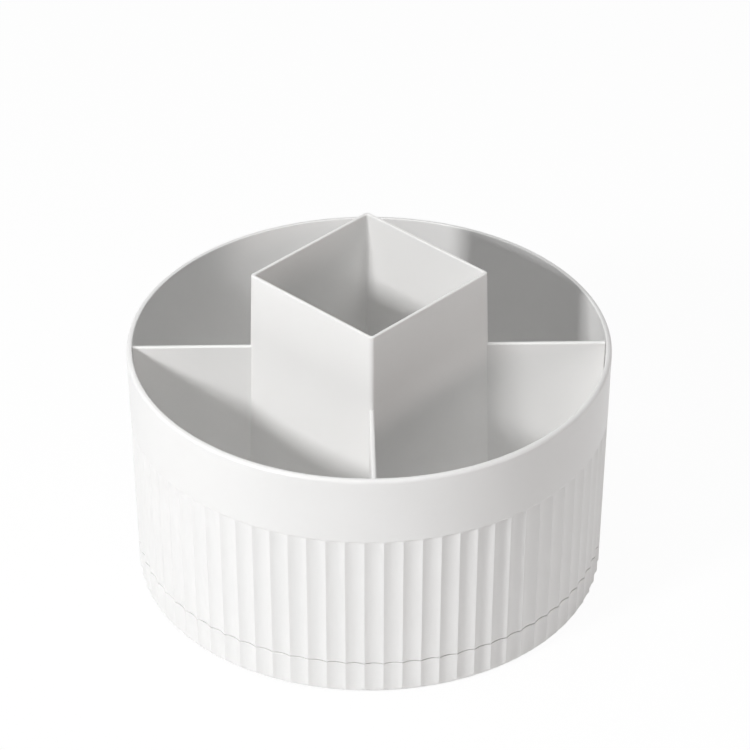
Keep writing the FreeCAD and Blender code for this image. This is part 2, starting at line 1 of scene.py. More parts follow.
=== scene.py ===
import json
import math
import bpy
import numpy as np
from mathutils import Matrix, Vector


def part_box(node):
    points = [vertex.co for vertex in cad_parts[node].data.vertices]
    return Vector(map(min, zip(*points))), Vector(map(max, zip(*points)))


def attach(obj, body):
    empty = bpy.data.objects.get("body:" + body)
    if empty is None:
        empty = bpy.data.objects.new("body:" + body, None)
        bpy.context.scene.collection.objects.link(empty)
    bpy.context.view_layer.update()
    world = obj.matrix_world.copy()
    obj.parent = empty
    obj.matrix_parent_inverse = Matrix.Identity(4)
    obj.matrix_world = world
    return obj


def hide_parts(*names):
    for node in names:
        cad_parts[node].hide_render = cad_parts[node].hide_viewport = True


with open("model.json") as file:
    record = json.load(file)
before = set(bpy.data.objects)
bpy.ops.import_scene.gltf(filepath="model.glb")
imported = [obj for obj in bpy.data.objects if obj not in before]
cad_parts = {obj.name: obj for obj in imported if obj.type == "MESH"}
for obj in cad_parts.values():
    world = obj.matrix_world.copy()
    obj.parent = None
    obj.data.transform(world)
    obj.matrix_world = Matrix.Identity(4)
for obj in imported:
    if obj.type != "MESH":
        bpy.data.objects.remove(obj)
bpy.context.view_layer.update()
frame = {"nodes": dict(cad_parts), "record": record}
print("frame loaded:", len(frame["nodes"]), "nodes")

mm = 0.001
tiny = 1e-9       # keeps a division by nothing away
endBrace = 0.3    # mm from a flat end to the points that keep the sides beside it flat when shaded
fineBrace = 0.1   # the same on small turned shapes


# Mesh tools: shapes are worked out in millimetres

def rowsToFaces(rows, columns, wrapRows=False):
    # quads that join each row of points to the next, the columns closed into rings
    index = np.arange(rows * columns).reshape(rows, columns)
    low = index if wrapRows else index[:-1]
    high = np.roll(index, -1, axis=0) if wrapRows else index[1:]
    corners = [low, np.roll(low, -1, axis=1), np.roll(high, -1, axis=1), high]
    return np.stack(corners, axis=-1).reshape(-1, 4)


def ringShell(points, wrapRows=False, startCap="pole", endCap="pole"):
    # a grid of rings as one closed shell: each open end gets a pole in its middle, or one flat face
    rows, columns = points.shape[:2]
    vertices = points.reshape(-1, 3)
    faces = [rowsToFaces(rows, columns, wrapRows)]
    if not wrapRows:
        for cap, row, turn in ((startCap, 0, -1), (endCap, rows - 1, 1)):
            ring = row * columns + np.arange(columns)[::turn]
            if cap == "flat":
                faces.append(ring[None, :])
                continue
            pole = len(vertices)
            vertices = np.vstack([vertices, points[row].mean(axis=0)])
            fan = np.stack([ring, np.roll(ring, -1), np.full(columns, pole)], axis=-1)
            faces.append(fan)
    return outward((vertices, faces))


def outward(shell):
    # turns every face round if the volume under the faces, summed as signed cones, is negative
    vertices, faces = shell
    volume = 0.0
    for group in faces:
        first = vertices[group[:, 0]]
        for step in range(1, group.shape[1] - 1):
            second, third = vertices[group[:, step]], vertices[group[:, step + 1]]
            volume += float(np.einsum("ij,ij->", first, np.cross(second, third)))
    if volume < 0:
        faces = [group[:, ::-1] for group in faces]
    return vertices, faces


def turnShell(shell, angle, middle=(0.0, 0.0)):
    # the shell turned about an upright axis through the origin, by cosine and sine, then moved sideways
    vertices, faces = shell
    cos, sin = math.cos(angle), math.sin(angle)
    turned = vertices @ np.array([[cos, sin, 0], [-sin, cos, 0], [0, 0, 1]])
    return turned + np.array([middle[0], middle[1], 0.0]), faces


def onCircle(radius, index, count):
    # the place of one of a number of things spaced evenly on a circle: radius times cosine and sine
    angle = 2 * math.pi * index / count
    return radius * math.cos(angle), radius * math.sin(angle)


def makePiece(name, shells, body, nodes, material):
    # all shells in one mesh, in metres, smooth, riding on a body in place of CAD nodes
    offset = 0
    places, loops, totals = [], [], []
    for vertices, faces in shells:
        places.append(vertices)
        for group in faces:
            loops.append((group + offset).ravel())
            totals.append(np.full(len(group), group.shape[1]))
        offset += len(vertices)
    places = (np.vstack(places) * mm).astype(np.float32)
    loops = np.concatenate(loops).astype(np.int32)
    totals = np.concatenate(totals).astype(np.int32)
    mesh = bpy.data.meshes.new(name)
    mesh.vertices.add(len(places))
    mesh.vertices.foreach_set("co", places.ravel())
    mesh.loops.add(len(loops))
    mesh.loops.foreach_set("vertex_index", loops)
    mesh.polygons.add(len(totals))
    starts = np.concatenate([[0], np.cumsum(totals)[:-1]]).astype(np.int32)
    mesh.polygons.foreach_set("loop_start", starts)
    mesh.polygons.foreach_set("loop_total", totals)
    mesh.polygons.foreach_set("use_smooth", np.ones(len(totals), bool))
    mesh.update(calc_edges=True)
    mesh.validate()
    mesh.materials.append(material)
    piece = bpy.data.objects.new(name, mesh)
    bpy.context.scene.collection.objects.link(piece)
    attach(piece, body)
    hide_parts(*nodes)
    print("made", name, len(totals), "faces")


def roundedRun(corners, closed=False, steps=5, brace=endBrace):
    # straight runs through corners, each corner's last value being its radius: an arc leaves both
    # runs at its tangent points, which lie the radius over the tangent of half the corner's angle
    # from the corner, and 0 keeps the corner sharp. A brace point beside each end of a run, at most
    # a third of the run away from it, keeps the run flat when shaded
    places = np.array([corner[:-1] for corner in corners], float)
    radii = np.array([corner[-1] for corner in corners], float)
    if not closed:
        radii[[0, -1]] = 0
    ahead = np.roll(places, -1, axis=0) - places
    length = np.maximum(np.linalg.norm(ahead, axis=1), tiny)
    ahead = ahead / length[:, None]
    back = -np.roll(ahead, 1, axis=0)
    half = np.arccos(np.clip((back * ahead).sum(axis=1), -1, 1)) / 2
    tangent = np.where(radii > 0, radii / np.tan(np.maximum(half, tiny)), 0)
    free = length - tangent - np.roll(tangent, -1)
    roomAhead = np.clip(free / 3, 0, brace)
    roomBack = np.roll(roomAhead, 1)
    share = np.linspace(0, 1, steps + 1)[:, None]
    points = []
    for index, here in enumerate(places):
        toBack, toAhead, reach = back[index], ahead[index], tangent[index]
        if closed or index > 0:
            points.append((here + toBack * (reach + roomBack[index]))[None])
        if radii[index] == 0:
            points.append(here[None])
        else:
            middle = (toBack + toAhead) / np.linalg.norm(toBack + toAhead)
            centre = here + middle * radii[index] / math.sin(half[index])
            start, end = here + toBack * reach - centre, here + toAhead * reach - centre
            sweep = math.pi - 2 * half[index]
            arc = (np.sin((1 - share) * sweep) * start + np.sin(share * sweep) * end) / math.sin(sweep)
            points.append(centre + arc)
        if closed or index < len(places) - 1:
            points.append((here + toAhead * (reach + roomAhead[index]))[None])
    return np.vstack(points)


def turnedShell(profile, columns=96, wrapRows=False):
    # a profile of radii and heights carried round the upright axis
    angle = np.linspace(0, 2 * math.pi, columns, endpoint=False)
    radius, level = profile[:, :1], profile[:, 1:2]
    points = np.stack([radius * np.cos(angle), radius * np.sin(angle), level + 0 * angle], axis=-1)
    return ringShell(points, wrapRows)


# Materials: patterns are in features per metre, depths in metres

noiseRange = (0.3, 0.7)    # where most values of a noise texture lie


def newMaterial(name):
    # a material with its nodes, its links and its main shader
    material = bpy.data.materials.new(name)
    material.use_nodes = True
    nodes = material.node_tree.nodes
    return material, nodes, material.node_tree.links, nodes["Principled BSDF"]


def noise(nodes, links, perMetre, detail=2.0, roughness=0.5, squeeze=(1, 1, 1)):
    # noise in Object coordinates, squeezed along each axis
    coordinates = nodes.new("ShaderNodeTexCoord")
    mapping = nodes.new("ShaderNodeMapping")
    mapping.inputs["Scale"].default_value = squeeze
    texture = nodes.new("ShaderNodeTexNoise")
    texture.inputs["Scale"].default_value = perMetre
    texture.inputs["Detail"].default_value = detail
    texture.inputs["Roughness"].default_value = roughness
    links.new(coordinates.outputs["Object"], mapping.inputs["Vector"])
    links.new(mapping.outputs["Vector"], texture.inputs["Vector"])
    return texture.outputs["Fac"]


def spread(nodes, links, source, low, high):
    # a noise value stretched to a range of its own
    stretch = nodes.new("ShaderNodeMapRange")
    stretch.inputs["From Min"].default_value = noiseRange[0]
    stretch.inputs["From Max"].default_value = noiseRange[1]
    stretch.inputs["To Min"].default_value = low
    stretch.inputs["To Max"].default_value = high
    links.new(source, stretch.inputs["Value"])
    return stretch.outputs["Result"]


def blendColours(nodes, links, factor, low, high):
    # one colour turning into another
    mix = nodes.new("ShaderNodeMix")
    mix.data_type = "RGBA"
    mix.inputs["A"].default_value = (*low, 1)
    mix.inputs["B"].default_value = (*high, 1)
    links.new(factor, mix.inputs["Factor"])
    return mix.outputs["Result"]


def bump(nodes, links, height, depth, under=None):
    # relief of a real depth, on top of another relief where there is one
    relief = nodes.new("ShaderNodeBump")
    relief.inputs["Distance"].default_value = depth
    relief.inputs["Strength"].default_value = 1.0
    links.new(height, relief.inputs["Height"])
    if under is not None:
        links.new(under, relief.inputs["Normal"])
    return relief.outputs["Normal"]


shellLook = {
    "caseColours": ((0.855, 0.852, 0.845), (0.875, 0.873, 0.868)),
    "insertColours": ((0.905, 0.900, 0.890), (0.930, 0.926, 0.917)),
    "driftPerMetre": 9,
    "roughness": (0.30, 0.38),
    "handlingPerMetre": 55,
    "grainPerMetre": 2600,
    "grainDepth": 0.000012,
    "wavePerMetre": 22,
    "waveDepth": 0.00012,
    "refraction": 1.5,
}


def shellPlastic(name, colours):
    # white moulded plastic: a fine spark-eroded grain, slow waves in the wall, faint drifts of colour
    material, nodes, links, shader = newMaterial(name)
    drift = noise(nodes, links, shellLook["driftPerMetre"], detail=3)
    tone = blendColours(nodes, links, spread(nodes, links, drift, 0, 1), *colours)
    links.new(tone, shader.inputs["Base Color"])
    handling = noise(nodes, links, shellLook["handlingPerMetre"], detail=4, roughness=0.6)
    links.new(spread(nodes, links, handling, *shellLook["roughness"]), shader.inputs["Roughness"])
    waves = bump(nodes, links, noise(nodes, links, shellLook["wavePerMetre"]), shellLook["waveDepth"])
    grain = noise(nodes, links, shellLook["grainPerMetre"], detail=1)
    relief = bump(nodes, links, grain, shellLook["grainDepth"], under=waves)
    links.new(relief, shader.inputs["Normal"])
    shader.inputs["IOR"].default_value = shellLook["refraction"]
    return material


rubberLook = {
    "colours": ((0.34, 0.34, 0.335), (0.42, 0.42, 0.41)),
    "mottlePerMetre": 300,
    "roughness": (0.6, 0.8),
    "wearPerMetre": 700,
    "pitsPerMetre": 3500,
    "pitDepth": 0.00004,
}


def footRubber():
    # soft grey pad, finely pitted
    material, nodes, links, shader = newMaterial("footRubber")
    mottle = noise(nodes, links, rubberLook["mottlePerMetre"], detail=3)
    links.new(blendColours(nodes, links, mottle, *rubberLook["colours"]), shader.inputs["Base Color"])
    wear = noise(nodes, links, rubberLook["wearPerMetre"])
    links.new(spread(nodes, links, wear, *rubberLook["roughness"]), shader.inputs["Roughness"])
    pits = noise(nodes, links, rubberLook["pitsPerMetre"], detail=2)
    links.new(bump(nodes, links, pits, rubberLook["pitDepth"]), shader.inputs["Normal"])
    return material


softLook = {
    "cageColours": ((0.66, 0.63, 0.55), (0.72, 0.70, 0.62)),
    "cageRoughness": (0.38, 0.52),
    "bushColours": ((0.76, 0.75, 0.71), (0.82, 0.81, 0.78)),
    "bushRoughness": (0.22, 0.32),
    "mottlePerMetre": 40,
    "wearPerMetre": 260,
    "grainPerMetre": 1800,
    "grainDepth": 0.00002,
}


def softPlastic(name, colours, roughness):
    # unpainted engineering plastic, a little uneven
    material, nodes, links, shader = newMaterial(name)
    mottle = noise(nodes, links, softLook["mottlePerMetre"], detail=3)
    links.new(blendColours(nodes, links, mottle, *colours), shader.inputs["Base Color"])
    wear = noise(nodes, links, softLook["wearPerMetre"])
    links.new(spread(nodes, links, wear, *roughness), shader.inputs["Roughness"])
    grain = noise(nodes, links, softLook["grainPerMetre"])
    links.new(bump(nodes, links, grain, softLook["grainDepth"]), shader.inputs["Normal"])
    return material


metalLook = {
    "ballColours": ((0.60, 0.60, 0.61), (0.68, 0.68, 0.69)),
    "ballRoughness": (0.05, 0.12),
    "screwColours": ((0.55, 0.56, 0.56), (0.66, 0.66, 0.64)),
    "screwRoughness": (0.22, 0.38),
    "washerColours": ((0.52, 0.52, 0.51), (0.60, 0.60, 0.59)),
    "washerRoughness": (0.28, 0.45),
    "washerSqueeze": (1, 6, 1),    # marks drawn out along the strip that it was stamped from
    "mottlePerMetre": 120,
    "marksPerMetre": 900,
    "scratchDepth": 0.000006,
}


def metal(name, colours, roughness, squeeze=(1, 1, 1)):
    # bare or plated steel with fine marks
    material, nodes, links, shader = newMaterial(name)
    mottle = noise(nodes, links, metalLook["mottlePerMetre"], detail=4)
    links.new(blendColours(nodes, links, mottle, *colours), shader.inputs["Base Color"])
    marks = noise(nodes, links, metalLook["marksPerMetre"], detail=4, roughness=0.7, squeeze=squeeze)
    links.new(spread(nodes, links, marks, *roughness), shader.inputs["Roughness"])
    links.new(bump(nodes, links, marks, metalLook["scratchDepth"]), shader.inputs["Normal"])
    shader.inputs["Metallic"].default_value = 1.0
    return material


looks = {
    "shell": shellPlastic("casePlastic", shellLook["caseColours"]),
    "insert": shellPlastic("insertPlastic", shellLook["insertColours"]),
    "foot_rubber": footRubber(),
    "cage": softPlastic("cageNylon", softLook["cageColours"], softLook["cageRoughness"]),
    "bush": softPlastic("bushAcetal", softLook["bushColours"], softLook["bushRoughness"]),
    "ball_steel": metal("ballSteel", metalLook["ballColours"], metalLook["ballRoughness"]),
    "screw_steel": metal("zincScrew", metalLook["screwColours"], metalLook["screwRoughness"]),
    "washer_steel": metal("stampedWasher", metalLook["washerColours"], metalLook["washerRoughness"],
                          squeeze=metalLook["washerSqueeze"]),
}
print("materials made:", len(looks))


# Drum: places come from the frame, sizes are in millimetres

def inMm(node):
    # the low and the high corner of a CAD node's box
    low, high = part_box(node)
    return np.array(low) / mm, np.array(high) / mm


drumLow, drumHigh = inMm("drum_shell")
insertLow, insertHigh = inMm("cup_and_dividers")

drum = {
    "rimRadius": drumHigh[1],      # outside at the rim
    "rimHeight": drumHigh[2],
    "seam": drumLow[2],            # lower edge of the wall
    "floorUnder": inMm("turntable_plate")[1][2],
    "floorTop": insertLow[2],
    "rimWall": 2.6,
    "footWall": 2.8,
    "rimRound": 1.7,               # outer edge of the rim
    "rimInnerRound": 0.5,
    "floorRound": 2.0,
    "edgeRound": 0.15,
    "poleRadius": 2.0,             # last ring of the floor before its middle
}
flutes = {
    "count": 80,
    "depth": 1.1,
    "top": 87.0,
    "runOut": 1.3,                 # height over which a flute slopes out under the plain band
    "crestRound": 0.35,            # softening of the sharp edge between two flutes
    "hollowSteps": 10,
    "crestSteps": 4,
    "rootRound": 0.15,             # foot of the slope
    "ledgeRound": 0.15,            # where the slope meets the band
}


def outerRadius(level):
    # straight taper from the base's lower edge up to the rim
    return np.interp(level, [base["bottom"], drum["rimHeight"]], [base["radius"], drum["rimRadius"]])


def innerRadius(level):
    # straight taper of the drum's inside from its floor up to the rim
    foot = outerRadius(drum["floorTop"]) - drum["footWall"]
    rim = drum["rimRadius"] - drum["rimWall"]
    return np.interp(level, [drum["floorTop"], drum["rimHeight"]], [foot, rim])


def fluteColumns():
    # one flute is a hollow arc seen from outside, its radius the half chord squared plus the sag
    # squared, over twice the sag. Where two meet, a small arc touches both: its centre is both
    # radii away from each flute's centre. Gives the angles round the drum and how far each point
    # lies under the plain surface
    radius = float(outerRadius(drum["seam"]))
    half = math.pi / flutes["count"]
    sag = flutes["depth"] - radius * (1 - math.cos(half))
    chordHalf = radius * math.sin(half)
    hollow = (chordHalf ** 2 + sag ** 2) / (2 * sag)
    centre = radius - flutes["depth"] + hollow
    crest = flutes["crestRound"]
    crestCentre = centre * math.cos(half) - math.sqrt((hollow + crest) ** 2 - (centre * math.sin(half)) ** 2)
    crestX, crestY = crestCentre * math.cos(half), crestCentre * math.sin(half)
    reach = math.atan2(crestY, centre - crestX)
    turn = np.linspace(-reach, reach, flutes["hollowSteps"] + 1)
    x, y = centre - hollow * np.cos(turn), hollow * np.sin(turn)
    side = math.atan2(y[-1] - crestY, x[-1] - crestX)
    over = np.linspace(side, 2 * half - side, flutes["crestSteps"] + 1)[1:-1]
    x = np.concatenate([x, crestX + crest * np.cos(over)])
    y = np.concatenate([y, crestY + crest * np.sin(over)])
    angle = (np.arctan2(y, x)[None, :] + 2 * half * np.arange(flutes["count"])[:, None]).ravel()
    depth = np.tile(radius - np.hypot(x, y), flutes["count"])
    return angle, depth


def flutedShell(profile, wrapRows=False):
    # rows of radius, height and flute depth carried round the flute columns: each column's radius
    # is the row's, less the column's depth times the row's share of the full depth
    angle, depth = fluteColumns()
    radius = profile[:, :1] - profile[:, 2:3] / flutes["depth"] * depth
    level = profile[:, 1:2] + 0 * angle
    points = np.stack([radius * np.cos(angle), radius * np.sin(angle), level], axis=-1)
    return ringShell(points, wrapRows)


def drumShell():
    # one closed wall: under the floor, down to the seam, up the flutes, over the rim and back to the
    # floor, as corners of radius, height, flute depth and rounding
    seam, top, rim = drum["seam"], flutes["top"], drum["rimHeight"]
    full, slope = flutes["depth"], top - flutes["runOut"]
    skirtInside = float(outerRadius(seam)) - drum["footWall"]
    profile = roundedRun([
        (drum["poleRadius"], drum["floorUnder"], 0, 0),
        (skirtInside, drum["floorUnder"], 0, 0),
        (skirtInside, seam, 0, drum["edgeRound"]),
        (outerRadius(seam), seam, full, drum["edgeRound"]),
        (outerRadius(slope), slope, full, flutes["rootRound"]),
        (outerRadius(top), top, 0, flutes["ledgeRound"]),
        (drum["rimRadius"], rim, 0, drum["rimRound"]),
        (innerRadius(rim), rim, 0, drum["rimInnerRound"]),
        (innerRadius(drum["floorTop"]), drum["floorTop"], 0, drum["floorRound"]),
        (drum["poleRadius"], drum["floorTop"], 0, 0),
    ])
    makePiece("drumShell", [flutedShell(profile)], "drum", ["drum_shell"], looks["shell"])


# Base and its feet

footLow, footHigh = inMm("foot_1")

foot = {
    "radius": (footHigh[0] - footLow[0]) / 2,
    "circle": (footHigh[0] + footLow[0]) / 2,    # from the spindle to the middle of a foot
    "top": footHigh[2],
    "count": 6,
    "poleRadius": 0.6,
    "edgeRound": 0.4,              # lower edge, which touches the table
    "topRound": 0.15,
    "grooveOut": 1.4,              # from the foot's side to the outer edge of the ring groove
    "grooveIn": 2.2,               # and to its inner edge
    "grooveSlope": 0.2,
    "grooveDepth": 0.25,
    "grooveRound": 0.1,
    "columns": 64,
}
base = {
    "bottom": inMm("base_shell")[0][2],
    "radius": 110.0,
    "seamGap": 0.5,
    "wall": 3.0,
    "deckTop": 13.2,
    "deckThickness": 2.4,
    "lipRise": 2.2,
    "lipWall": 1.8,
    "lipClearance": 0.7,
    "edgeRound": 0.15,
    "crestFade": 2.0,              # height over which the crests run out at the lower edge
    "footRound": 0.7,              # softening of the lower edge
    "lipFootRound": 0.2,
    "deckRound": 0.8,
    "postRadius": 10.97,
    "postBottom": 7.2,
    "postRound": 0.4,
    "postRootRound": 1.0,
    "boreRadius": 7.27,
    "boreTopRound": 0.3,
    "boreFootRound": 0.2,
    "skirtRootRound": 1.2,
    "roundSteps": 2,               # few, as every point stands in each of the flute columns
    "ribStart": 10.2,
    "ribDepth": 6.0,
    "ribWidth": 1.6,
    "ribRound": 0.3,
    "ribCount": 6,
    "ribIntoSkirt": 0.6,
    "ribIntoDeck": 0.4,
    "seatFit": 0.15,               # round a foot in its seat
    "seatWall": 1.6,
    "seatStep": 1.6,               # ledge that a foot is glued to
    "seatIntoDeck": 0.5,
    "seatMouthRound": 0.2,
    "seatEdgeRound": 0.3,
    "seatStepRound": 0.1,
    "seatColumns": 48,
}


def rib(start, end, low, high, angle):
    # a rounded strip standing on edge along a radius: its section at four places from start to end
    side, rounding = base["ribWidth"] / 2, base["ribRound"]
    section = roundedRun([
        (-side, high, 0), (-side, low, rounding), (side, low, rounding), (side, high, 0),
    ], closed=True, steps=3)
    along = np.array([start, start + endBrace, end - endBrace, end])[:, None]
    across, level = section[None, :, 0], section[None, :, 1]
    points = np.stack(np.broadcast_arrays(along, across, level), axis=-1)
    return turnShell(ringShell(points, startCap="flat", endCap="flat"), angle)


def footSeat(index):
    # hollow post under the deck with a stepped mouth for a foot, turned about its own axis
    mouth = foot["radius"] + base["seatFit"]
    outside, core = mouth + base["seatWall"], mouth - base["seatStep"]
    bottom, step = base["bottom"], foot["top"]
    deck = base["deckTop"] - base["deckThickness"] + base["seatIntoDeck"]
    profile = roundedRun([
        (mouth, bottom, base["seatMouthRound"]),
        (outside, bottom, base["seatEdgeRound"]),
        (outside, deck, 0),
        (core, deck, 0),
        (core, step, base["seatStepRound"]),
        (mouth, step, base["seatStepRound"]),
    ], closed=True, steps=3, brace=fineBrace)
    shell = turnedShell(profile, columns=base["seatColumns"], wrapRows=True)
    return turnShell(shell, 0, onCircle(foot["circle"], index, foot["count"]))


def baseShell():
    # fluted skirt, seam lip, deck and centre post as one turned wall, as corners of radius, height,
    # flute depth and rounding, with ribs and foot seats under it
    edge = drum["seam"] - base["seamGap"]
    lip = float(outerRadius(drum["seam"])) - drum["footWall"] - base["lipClearance"]
    lipInside, lipTop = lip - base["lipWall"], edge + base["lipRise"]
    deck, deckUnder = base["deckTop"], base["deckTop"] - base["deckThickness"]
    bottom = base["bottom"]
    fade = bottom + base["crestFade"]
    skirtInside = float(outerRadius(bottom)) - base["wall"]
    rounding, full = base["edgeRound"], flutes["depth"]
    profile = roundedRun([
        (outerRadius(bottom) - full, bottom, 0, base["footRound"]),
        (outerRadius(fade), fade, full, base["footRound"]),
        (outerRadius(edge), edge, full, rounding),
        (lip, edge, 0, base["lipFootRound"]),
        (lip, lipTop, 0, rounding),
        (lipInside, lipTop, 0, rounding),
        (lipInside, deck, 0, base["deckRound"]),
        (base["boreRadius"], deck, 0, base["boreTopRound"]),
        (base["boreRadius"], base["postBottom"], 0, base["boreFootRound"]),
        (base["postRadius"], base["postBottom"], 0, base["postRound"]),
        (base["postRadius"], deckUnder, 0, base["postRootRound"]),
        (skirtInside, deckUnder, 0, base["skirtRootRound"]),
        (skirtInside, bottom, 0, rounding),
    ], closed=True, steps=base["roundSteps"])
    shells = [flutedShell(profile, wrapRows=True)]
    ribEnd = skirtInside + base["ribIntoSkirt"]
    ribLow, ribTop = deckUnder - base["ribDepth"], deckUnder + base["ribIntoDeck"]
    for index in range(base["ribCount"]):
        angle = 2 * math.pi * index / base["ribCount"]
        shells.append(rib(base["ribStart"], ribEnd, ribLow, ribTop, angle))
    shells += [footSeat(index) for index in range(foot["count"])]
    makePiece("baseShell", shells, "base", ["base_shell"], looks["shell"])


def footPads():
    # each foot is a turned pad with a ring groove in its lower face
    radius, rounding = foot["radius"], foot["grooveRound"]
    grooveIn, grooveOut = radius - foot["grooveIn"], radius - foot["grooveOut"]
    slope, depth = foot["grooveSlope"], foot["grooveDepth"]
    profile = roundedRun([
        (foot["poleRadius"], 0, 0),
        (grooveIn, 0, rounding),
        (grooveIn + slope, depth, rounding),
        (grooveOut - slope, depth, rounding),
        (grooveOut, 0, rounding),
        (radius, 0, foot["edgeRound"]),
        (radius, foot["top"], foot["topRound"]),
        (foot["poleRadius"], foot["top"], 0),
    ], steps=3, brace=fineBrace)
    for index in range(foot["count"]):
        place = onCircle(foot["circle"], index, foot["count"])
        shell = turnShell(turnedShell(profile, columns=foot["columns"]), 0, place)
        name, node = f"footPad{index + 1}", f"foot_{index + 1}"
        makePiece(name, [shell], "base", [node], looks["foot_rubber"])


# Cup and dividers

insert = {
    "cupTop": insertHigh[2],
    "sideTop": 77.5,
    "sideFoot": 82.2,
    "wall": 1.6,
    "boreFoot": 72.5,
    "corner": 1.8,
    "boreCorner": 1.2,
    "cornerSteps": 7,
    "sideBrace": 0.6,              # from a rounded corner to the points that keep the side flat when shaded
    "lipRound": 0.6,
    "floor": 32.71,
    "floorRound": 1.0,
    "poleHalf": 4.0,               # last ring of the cup's floor before its middle
    "dividerDrop": 1.3,            # top of the dividers below the rim
    "dividerTop": 2.2,
    "dividerFoot": 3.0,
    "dividerRound": 0.8,
    "dividerLean": 0.01,           # of each side over the height of the drum's floor rounding
    "intoCup": 0.4,                # how far a divider starts behind the inside of the cup's wall
    "fit": 0.2,
}


def squareRing(half, corner):
    # rings of a square with round corners, turned to stand on a corner: one row for each half width.
    # A corner's points lie on its arc, and braces beside it keep the sides flat when shaded
    half, corner = half[:, None], corner[:, None]
    arc = np.linspace(0, math.pi / 2, insert["cornerSteps"] + 1)[None, :]
    x = half - corner + corner * np.cos(arc)
    y = half - corner + corner * np.sin(arc)
    brace = half - corner - insert["sideBrace"]
    x = np.hstack([half, x, brace, 0 * half])
    y = np.hstack([brace, y, half, half])
    rings = []
    for quarter in range(4):
        angle = quarter * math.pi / 2 - math.pi / 4
        rings.append(np.stack([x * math.cos(angle) - y * math.sin(angle),
                               x * math.sin(angle) + y * math.cos(angle)], axis=-1))
    return np.concatenate(rings, axis=1)


def cupShell():
    # rows of half width, height and corner radius: up the outside, over the lip, down to the floor
    outTop, outFoot = insert["sideTop"] / 2, insert["sideFoot"] / 2
    inTop, inFoot = outTop - insert["wall"], insert["boreFoot"] / 2
    low, high = drum["floorTop"], insert["cupTop"]
    rows = roundedRun([
        (outFoot, low, insert["corner"], 0),
        (outTop, high, insert["corner"], insert["lipRound"]),
        (inTop, high, insert["boreCorner"], insert["lipRound"]),
        (inFoot, insert["floor"], insert["boreCorner"], insert["floorRound"]),
        (insert["poleHalf"], insert["floor"], insert["boreCorner"], 0),
    ])
    ring = squareRing(rows[:, 0], rows[:, 2])
    level = np.broadcast_to(rows[:, 1:2, None], ring.shape[:2] + (1,))
    return ringShell(np.concatenate([ring, level], axis=-1))


def dividerShell(angle):
    # a wall on edge, rounded along its top, from inside the cup's corner out to the drum: each point
    # of its section runs from the leaning corner, half the cup's side times root two from the axis,
    # to the drum's wall, the root of radius squared less distance across squared. Beside the floor's
    # rounding it stops short by as much as it lies under the rounding's top
    half, top, rounding = insert["dividerFoot"] / 2, insert["dividerTop"] / 2, insert["dividerRound"]
    low, high = drum["floorTop"], drum["rimHeight"] - insert["dividerDrop"]
    shoulder, lean = low + drum["floorRound"], insert["dividerLean"]
    section = roundedRun([
        (-half, low, 0),
        (-half + lean, shoulder, 0),
        (-top, high, rounding),
        (top, high, rounding),
        (half - lean, shoulder, 0),
        (half, low, 0),
    ])
    across, level = section[:, 0], section[:, 1]
    wall = np.sqrt((innerRadius(level) - insert["fit"]) ** 2 - across ** 2)
    wall = wall - np.maximum(drum["floorRound"] - (level - low), 0)
    side = np.interp(level, [low, insert["cupTop"]], [insert["sideFoot"], insert["sideTop"]])
    start = side / math.sqrt(2) - insert["wall"] - insert["intoCup"]
    along = np.stack([start, start + endBrace, wall - endBrace, wall])
    points = np.stack([along, across + 0 * along, level + 0 * along], axis=-1)
    return turnShell(ringShell(points, startCap="flat", endCap="flat"), angle)


def cupAndDividers():
    # the cup and a divider from each of its corners, one moulding
    shells = [cupShell()]
    shells += [dividerShell(quarter * math.pi / 2) for quarter in range(4)]
    makePiece("cupAndDividers", shells, "drum", ["cup_and_dividers"], looks["insert"])


# Bearing balls, screw and washer

ball = {
    "count": 8,
    "rings": 19,
    "columns": 36,
    "poleTurn": 0.04,              # angle from a pole to the first ring
}


def bearingBalls():
    # spheres spaced evenly on a circle, each one rings of latitude carried round its own axis
    low, high = inMm("bearing_balls")
    radius, middle = (high[2] - low[2]) / 2, (high[2] + low[2]) / 2
    turn = np.linspace(ball["poleTurn"], math.pi - ball["poleTurn"], ball["rings"])
    profile = np.stack([radius * np.sin(turn), middle + radius * np.cos(turn)], axis=-1)
    shells = []
    for index in range(ball["count"]):
        place = onCircle(high[0] - radius, index, ball["count"])
        shells.append(turnShell(turnedShell(profile, columns=ball["columns"]), 0, place))
    makePiece("bearingBalls", shells, "cage", ["bearing_balls"], looks["ball_steel"])


screw = {
    "shank": 2.0,
    "tipRound": 0.3,
    "headRound": 1.3,
    "underRound": 0.1,
    "columns": 96,
    "roundSteps": 8,
    "poleRadius": 0.1,
    "faceRings": 24,               # rings that carry the recess
    "faceEdge": 1.7,               # from the head's side to the last of them
    "armHalf": 0.55,               # half width of an arm of the recess
    "armSlope": 0.18,
    "armEnd": 2.3,                 # reach of an arm from the middle
    "endSlope": 0.4,
    "recessDepth": 1.5,            # at the middle
    "recessRise": 0.4,             # of the recess's bottom for each millimetre outwards
    "faceDepth": 0.3,              # the recess dips only what lies this near to the face
}


